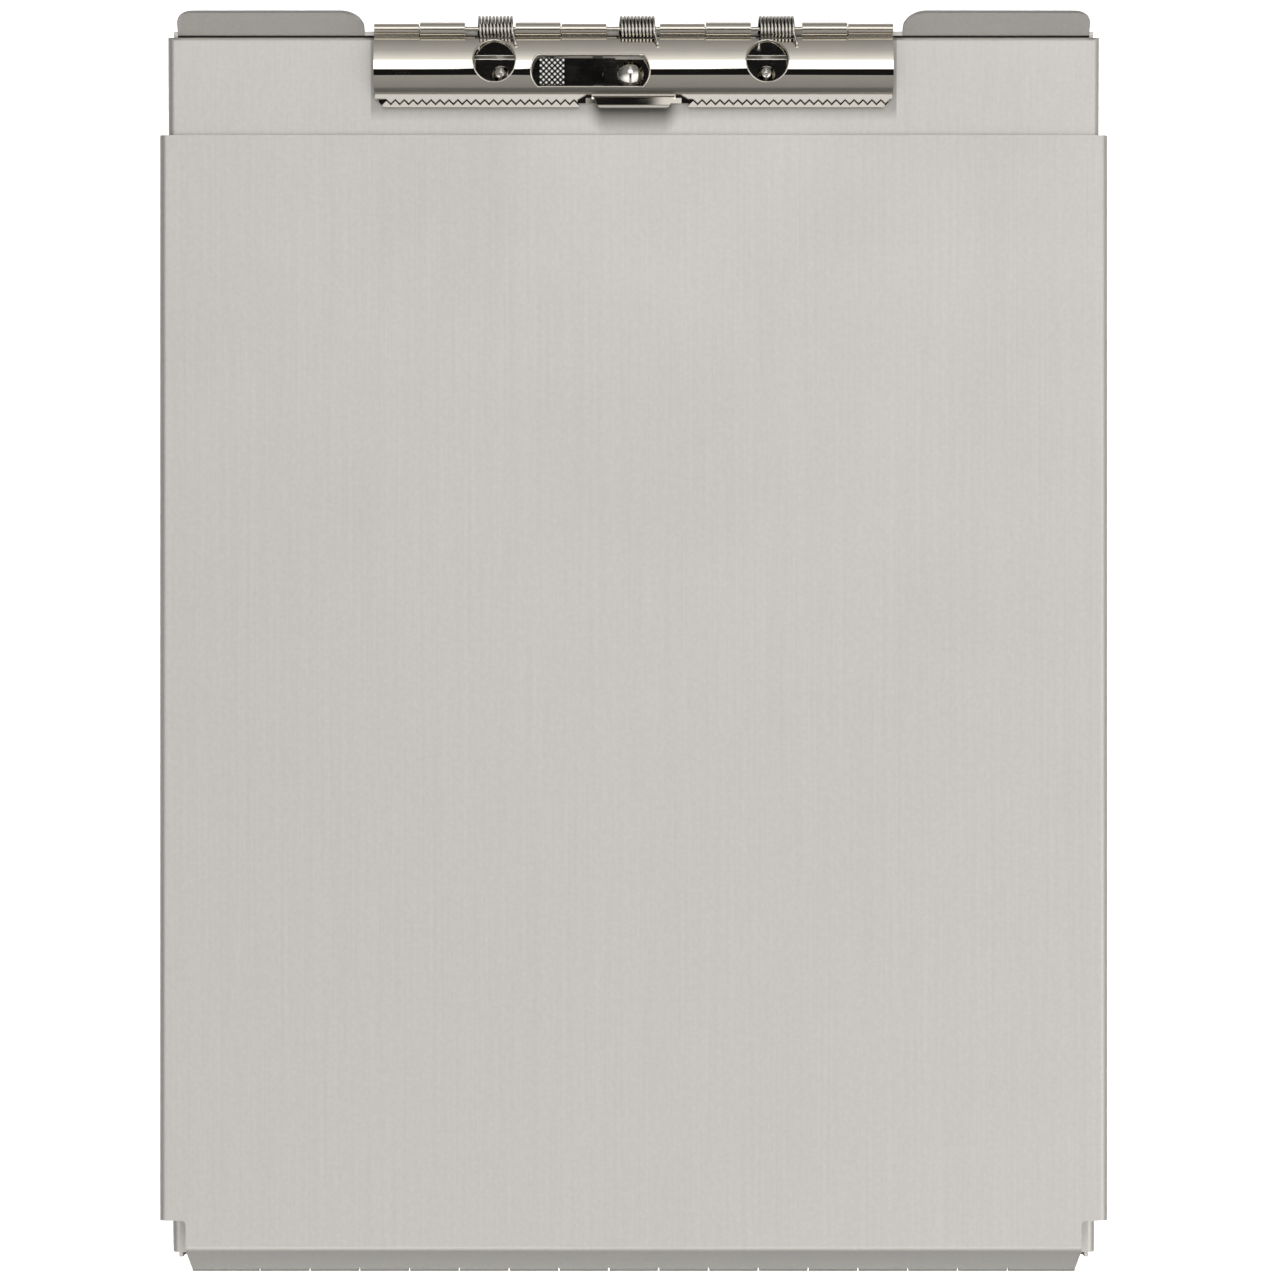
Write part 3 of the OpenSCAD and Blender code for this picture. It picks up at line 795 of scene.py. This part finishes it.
@dataclass
class Rims:
    """Rolled edges round the two windows and the latch slot in the jaw's arch.

    Places are in the clip's frame: across it, and along the deck's slope from the rod's axis.
    """

    axle: Vector
    material: bpy.types.Material
    wire: float = 0.42 * MM
    sunk_share: float = 0.3
    crest: tuple[float, float] = (-10.3 * MM, 3.7 * MM)
    back_radius: float = 12.1 * MM
    front_radius: float = 6.2 * MM
    window_radius: float = 5.35 * MM
    window_y: float = -8.1 * MM
    window_x: tuple[float, float] = (-34.8 * MM, 33.4 * MM)
    slot: tuple[float, float] = (-25.7 * MM, 4.1 * MM)
    slot_y: float = -10.6 * MM
    slot_half: float = 3.95 * MM
    sides: int = 10
    steps: int = 96

    def on_arch(self, x: float, y: float) -> Vector:
        """Find the point of the arch's outer face over a place in the clip's frame.

        Args:
            x: place across the clip.
            y: place along the deck from the rod's axis.

        Returns:
            The point, in the clip's frame from the rod's axis.
        """
        over = y - self.crest[0]
        radius = self.back_radius if over > 0 else self.front_radius
        return Vector((x, y, self.crest[1] - radius + math.sqrt(radius**2 - over**2)))

    def window(self, middle: float) -> list[tuple[float, float]]:
        """Walk round one window.

        Args:
            middle: the window's place across the clip.

        Returns:
            Places across and along the deck.
        """
        turns = [2 * math.pi * i / self.steps for i in range(self.steps)]
        r = self.window_radius
        return [(middle + r * math.cos(t), self.window_y + r * math.sin(t)) for t in turns]

    def latch_slot(self) -> list[tuple[float, float]]:
        """Walk round the latch slot: two straight sides and two shallow arcs.

        Returns:
            Places across and along the deck.
        """
        r = self.window_radius
        reach = math.asin(self.slot_half / r)
        count = self.steps // 4
        around = []
        middles = self.slot[1] - r, self.slot[0] + r
        for side, middle, other in ((1, *middles), (-1, *reversed(middles))):
            for i in range(count + 1):
                t = reach * (2 * i / count - 1)
                x, y = middle + side * r * math.cos(t), self.slot_y + side * r * math.sin(t)
                around.append((x, y))
            end = other - side * r * math.cos(reach)
            around += [(x + (end - x) * i / count, y) for i in range(1, count)]
        return around

    def build(self) -> None:
        """Sweep the three edges, dress them and let them move with the jaw."""
        place = Matrix.Translation(self.axle) @ Matrix.Rotation(DECK_TILT, 4, "X")
        sunk = Vector((0, 0, self.wire * self.sunk_share))
        outlines = {
            "window_edge_left": self.window(self.window_x[0]),
            "window_edge_right": self.window(self.window_x[1]),
            "latch_slot_edge": self.latch_slot(),
        }
        for name, outline in outlines.items():
            points = [place @ (self.on_arch(x, y) - sunk) for x, y in outline]
            obj = add_object(name, sweep(name, points, self.wire / 2, self.sides, closed=True))
            dress(obj, self.material)
            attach(obj, "jaw")
            log.info("%s: rolled edge", name)


@dataclass
class TorsionSpring:
    """One wound spring on the clip's rod, with a leg on the base plate and one over the jaw."""

    node: str
    middle_x: float
    axle: Vector
    material: bpy.types.Material
    coils: int = 11
    pitch: float = 0.87 * MM
    wire: float = 0.7 * MM
    coil_radius: float = 2.48 * MM
    shift: float = 0.5 * MM
    start_degrees: float = 193
    end_degrees: float = 128
    # the leg on the base plate: its length, and the shares of it that carry a ring
    foot_reach: float = 2.9 * MM
    foot_shares: tuple[float, ...] = (1.0, 0.66, 0.33)
    # the leg over the jaw: its end, across from the last coil and out from the axle
    tip: tuple[float, float, float] = (0.9 * MM, -4.2 * MM, 2.6 * MM)
    tip_shares: tuple[float, ...] = (0.25, 0.5, 0.75, 1.0)
    sides: int = 12
    steps: int = 32

    @property
    def half_length(self) -> float:
        """Work out how far the coils reach to each side of their middle.

        Returns:
            Half of the way along the axle from the first coil to the last.
        """
        return self.pitch * (self.coils - 1) / 2

    def coil_point(self, share: float) -> Vector:
        """Find a point on the coils' centre line.

        Args:
            share: how far along the coils it lies, from 0 to 1.

        Returns:
            The point, from the middle of the coils' axis.
        """
        start = math.radians(self.start_degrees)
        end = math.radians(self.end_degrees) + 2 * math.pi * (self.coils - 1)
        turn = start + (end - start) * share
        y, z = self.coil_radius * math.cos(turn), self.coil_radius * math.sin(turn)
        return Vector((-self.half_length + 2 * self.half_length * share, y, z))

    def path(self) -> list[Vector]:
        """Work out the wire's centre line about the rod, in the deck's slope.

        Returns:
            Points along the wire, from the base plate's leg to the jaw's leg.
        """
        first, last = self.coil_point(0.0), self.coil_point(1.0)
        leg = Vector((0, -self.foot_reach - self.shift, 0))
        tip = Vector((self.half_length + self.tip[0], self.tip[1] - self.shift, self.tip[2]))
        count = self.steps * self.coils
        return [
            *(first + leg * share for share in self.foot_shares),
            *(self.coil_point(i / count) for i in range(count + 1)),
            *(last.lerp(tip, share) for share in self.tip_shares),
        ]

    def build(self) -> None:
        """Sweep the wire, dress it and set it in place of the spring's own part, which is hidden.
        """
        place = (
            Matrix.Translation(self.axle + Vector((self.middle_x, 0, 0)))
            @ Matrix.Rotation(DECK_TILT, 4, "X")
            @ Matrix.Translation((0, self.shift, 0))
        )
        name = self.node + "_wire"
        points = [place @ point for point in self.path()]
        obj = add_object(name, sweep(name, points, self.wire / 2, self.sides))
        dress(obj, self.material)
        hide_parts(self.node)
        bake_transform(obj)
        log.info("%s: %d coils of wire", self.node, self.coils)


def sweep(
    name: str, points: list[Vector], radius: float, sides: int, closed: bool = False
) -> bpy.types.Mesh:
    """Sweep a round wire along a list of points.

    Args:
        name: the mesh's name.
        points: centre line of the wire.
        radius: half the wire's diameter, in metres.
        sides: facets round the wire.
        closed: whether the last point joins the first.

    Returns:
        A closed mesh with smooth faces.
    """
    work = bmesh.new()
    rings = []
    side = Vector((1, 0, 0))
    last = len(points) - 1
    for i, point in enumerate(points):
        after = points[(i + 1) % len(points)] if closed else points[min(i + 1, last)]
        before = points[i - 1] if closed else points[max(i - 1, 0)]
        ahead = (after - before).normalized()
        # a loop's rings all stand upright, so that the last one meets the first untwisted
        side = Vector((0, 0, 1)) if closed else side
        side = (side - ahead * side.dot(ahead)).normalized()
        up = ahead.cross(side)
        turns = [2 * math.pi * k / sides for k in range(sides)]
        places = [point + radius * (side * math.cos(t) + up * math.sin(t)) for t in turns]
        rings.append([work.verts.new(place) for place in places])
    pairs = list(zip(rings, rings[1:])) + ([(rings[-1], rings[0])] if closed else [])
    for a, b in pairs:
        for k in range(sides):
            work.faces.new((a[k], a[(k + 1) % sides], b[(k + 1) % sides], b[k]))
    if not closed:
        work.faces.new(list(reversed(rings[0])))
        work.faces.new(rings[-1])
    for face in work.faces:
        face.smooth = len(face.verts) == 4
    bmesh.ops.recalc_face_normals(work, faces=work.faces)
    mesh = bpy.data.meshes.new(name)
    work.to_mesh(mesh)
    work.free()
    return mesh


@dataclass
class Studio:
    """White table, one wide softbox behind the clip end, and a sky of pale studio walls."""

    # camera
    eye_x: float = 1.6 * MM
    eye_y: float = 1.8 * MM
    writing_surface: float = 19 * MM
    distance: float = 1.05
    view_width: float = 321.1 * MM
    sensor_mm: float = 36.0
    far: float = 20.0
    # table, whose white_table level is for the camera's rays only, bar a faint shine
    table_half: float = 4.0
    table_edge: float = -166 * MM
    table_dark: tuple[float, float, float, float] = (0.44, 0.44, 0.445, 1)
    table_light: tuple[float, float, float, float] = (0.46, 0.46, 0.465, 1)
    mottle_size: float = 30 * MM
    table_shine: float = 0.1
    white_table: float = 3.4
    # wide softbox over the clip end
    softbox_radiance: float = 1.3
    softbox_size: tuple[float, float] = (0.9, 0.55)
    softbox_place: tuple[float, float, float] = (0.0, 0.58, 1.6)
    softbox_aim: tuple[float, float, float] = (0, 0.1, 0)
    # sky: its tint, its level for the camera's rays, and the edge of its middle strip
    sky_tint: tuple[float, float, float, float] = (1.0, 0.992, 0.975, 1)
    white_sky: float = 1.03
    gap_sine: float = 0.09
    gap_fade: float = 0.06
    # beside the strip: the level and its slopes, its limits, and its drop near the table
    side_level: float = 0.97
    right_gain: float = 1.0
    hinge_gain: float = 3.4
    least_side: float = 0.32
    most_side: float = 1.85
    low_sines: tuple[float, float] = (0.3, 0.85)
    low_share: float = 0.3
    # the middle strip: its level at each lean in degrees, from hinge side to clip side
    strip: tuple[tuple[float, float], ...] = (
        (-90, 0.30),
        (-60, 0.34),
        (-30, 0.38),
        (-26, 0.42),
        (-25, 0.01),
        (6, 0.01),
        (7, 1.4),
        (24, 1.3),
        (30, 1.03),
        (38, 0.79),
        (50, 0.53),
        (70, 0.38),
        (90, 0.25),
    )

    def build(self) -> None:
        """Build floor, lamp, sky and camera."""
        bpy.context.scene.view_settings.view_transform = "Standard"
        self.floor()
        self.softbox()
        self.sky()
        self.camera()

    def floor(self) -> None:
        """Lay the white table top, whose edge runs just past the piano hinge."""
        work = bmesh.new()
        bmesh.ops.create_grid(work, x_segments=1, y_segments=1, size=self.table_half)
        for vert in work.verts:
            vert.co.y = max(vert.co.y, self.table_edge)
        mesh = bpy.data.meshes.new("table")
        work.to_mesh(mesh)
        work.free()
        table = add_object("table", mesh)
        material, tree = empty_material("white_laminate_table")
        rays = add_node(tree, "ShaderNodeLightPath").outputs
        glossy, seen = rays["Is Glossy Ray"], rays["Is Camera Ray"]
        white = calculate(tree, "MULTIPLY_ADD", glossy, self.table_shine, seen, clamp=True)
        place = add_node(tree, "ShaderNodeTexCoord").outputs["Object"]
        mottle = noise(tree, place, self.mottle_size)
        base = mix_colours(tree, mottle, self.table_dark, self.table_light)
        colour = mix_colours(tree, white, base, grey(self.white_table))
        shader = add_node(tree, "ShaderNodeBsdfDiffuse", inputs={"Color": colour})
        add_node(tree, "ShaderNodeOutputMaterial", inputs={"Surface": shader.outputs[0]})
        dress(table, material)

    def softbox(self) -> None:
        """Hang the wide softbox over the clip end."""
        lamp = bpy.data.lights.new("softbox", "AREA")
        lamp.shape = "RECTANGLE"
        lamp.size, lamp.size_y = self.softbox_size
        lamp.energy = self.softbox_radiance * math.pi * lamp.size * lamp.size_y
        holder = add_object("softbox", lamp)
        holder.location = self.softbox_place
        aim = Vector(self.softbox_aim) - holder.location
        holder.rotation_euler = aim.to_track_quat("-Z", "Y").to_euler()

    def sky(self) -> None:
        """Paint the studio by direction: a middle strip over the box, and softboxes beside it."""
        world = bpy.data.worlds.new("studio")
        bpy.context.scene.world = world
        world.use_nodes = True
        tree = world.node_tree
        tree.nodes.clear()
        way = add_node(tree, "ShaderNodeTexCoord").outputs["Generated"]
        gap = self.gap_sine, self.gap_sine + self.gap_fade
        beside = remap(tree, distance_aside(tree, way), gap, smooth=True)
        level = mix_values(tree, beside, self.strip_level(tree, way), self.side_level_at(tree, way))
        seen = add_node(tree, "ShaderNodeLightPath").outputs["Is Camera Ray"]
        strength = mix_values(tree, seen, level, self.white_sky)
        inputs = {"Color": self.sky_tint, "Strength": strength}
        back = add_node(tree, "ShaderNodeBackground", inputs=inputs)
        add_node(tree, "ShaderNodeOutputWorld", inputs={"Surface": back.outputs[0]})

    def strip_level(self, tree: Tree, way: Socket) -> Socket:
        """Work out the middle strip, from the hinge side over the top to the clip side.

        Args:
            tree: the sky's node tree.
            way: direction into the sky.

        Returns:
            The strip's level.
        """
        lean = calculate(tree, "ARCTAN2", along(tree, way, "Y"), along(tree, way, "Z"))
        share = remap(tree, lean, (-math.pi / 2, math.pi / 2))
        ramp = add_node(tree, "ShaderNodeValToRGB", inputs={"Fac": share})
        elements = ramp.color_ramp.elements
        stops = [((angle + 90) / 180, level) for angle, level in self.strip]
        elements[0].position = stops[0][0]
        elements[1].position = stops[-1][0]
        for position, _ in stops[1:-1]:
            elements.new(position)
        for element, (_, level) in zip(elements, stops):
            element.color = grey(level)
        return ramp.outputs["Color"]

    def side_level_at(self, tree: Tree, way: Socket) -> Socket:
        """Work out the softboxes beside the strip, which end above the table.

        Args:
            tree: the sky's node tree.
            way: direction into the sky.

        Returns:
            Their level, which rises to the right and towards the hinge.
        """
        right, clipward = along(tree, way, "X"), along(tree, way, "Y")
        level = calculate(tree, "MULTIPLY_ADD", right, self.right_gain, self.side_level)
        level = calculate(tree, "MULTIPLY_ADD", clipward, -self.hinge_gain, level)
        level = calculate(tree, "MAXIMUM", level, self.least_side)
        level = calculate(tree, "MINIMUM", level, self.most_side)
        ends = self.low_share, 1.0
        lift = remap(tree, along(tree, way, "Z"), self.low_sines, ends, smooth=True)
        return calculate(tree, "MULTIPLY", level, lift)

    def camera(self) -> None:
        """Hang the camera straight over the box."""
        data = bpy.data.cameras.new("overhead")
        data.sensor_width = self.sensor_mm
        data.lens = data.sensor_width * self.distance / self.view_width
        data.clip_end = self.far
        holder = add_object("overhead", data)
        holder.location = (self.eye_x, self.eye_y, self.writing_surface + self.distance)
        bpy.context.scene.camera = holder


def main() -> None:
    """Dress the model and build the studio."""
    logging.basicConfig(level=logging.INFO, format="%(name)s: %(message)s")
    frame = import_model()
    nodes = frame["nodes"]
    SheetBox(nodes).build()
    bright = Clip(nodes).build()
    hinge = next(j for j in frame["joints"] if j["name"] == "jaw_hinge")
    axle = Vector(hinge["pos_m"])
    Rims(axle, bright).build()
    # the spring wire gets painted shade on its inner side, towards the rod
    wire = DrawnSteel(
        "nickel_spring_wire",
        colour="dcd8d0",
        dark_colour="b4b0a8",
        roughness=0.14,
        axle=axle + Vector((0, TorsionSpring.shift, 0)),
    ).build()
    for name, middle_x in SPRING_X.items():
        TorsionSpring("spring_" + name, middle_x, axle, wire).build()
    Studio().build()


if __name__ == "__main__":
    main()
